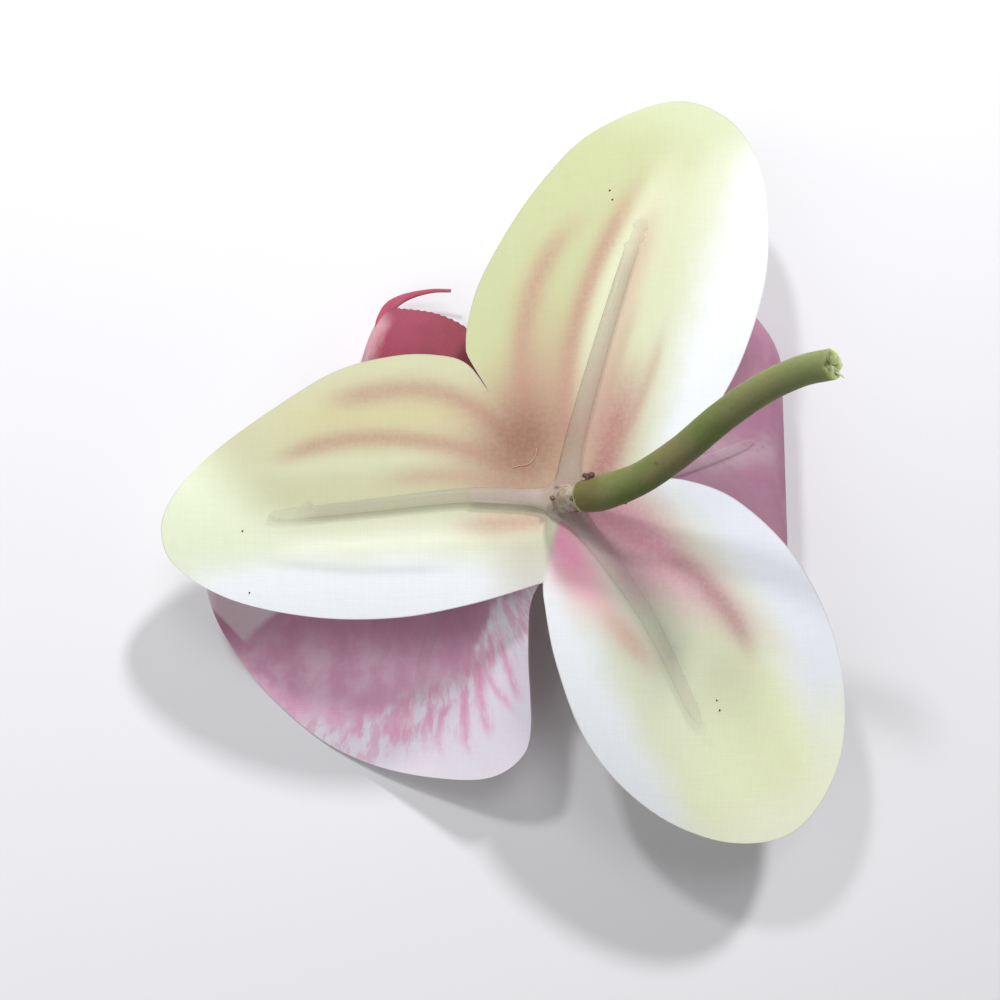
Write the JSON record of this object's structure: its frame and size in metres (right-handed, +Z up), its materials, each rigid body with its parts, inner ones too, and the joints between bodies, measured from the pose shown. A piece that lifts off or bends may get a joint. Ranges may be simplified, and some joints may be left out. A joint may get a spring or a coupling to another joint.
{
  "type": "artificial orchid flower",
  "caption": "Artificial moth orchid bloom with a short cut stem, lying face down: printed cloth sepals, petals and lip held on clear plastic ribs.",
  "frame": {"origin": "middle of the foot of the bounding box, on the surface that the bloom lies on face down", "axes": "+Z up from that surface, +Y towards the long upper sepal lobe, +X to the side that the stem leans to"},
  "size_m": [0.0922, 0.1, 0.0509],
  "materials": {
    "sepal_cloth": "fine printed woven polyester, matt, pale green and white with salmon streaks",
    "petal_cloth": "fine printed woven polyester, matt, mauve pink with a white veined margin",
    "lip_cloth": "fine printed woven polyester, matt, deep pink red",
    "clear_plastic": "cloudy clear moulded plastic, satin",
    "column_plastic": "moulded plastic, satin, white to pink",
    "stem_plastic": "soft moulded plastic, satin, olive green with brown specks"
  },
  "bodies": {
    "root": {"sepal_fabric": "sepal_cloth", "petal_fabric": "petal_cloth", "lip_fabric": "lip_cloth", "sepal_ribs": "clear_plastic", "petal_ribs": "clear_plastic", "column": "column_plastic", "stem": "stem_plastic"}
  },
  "joints": []
}
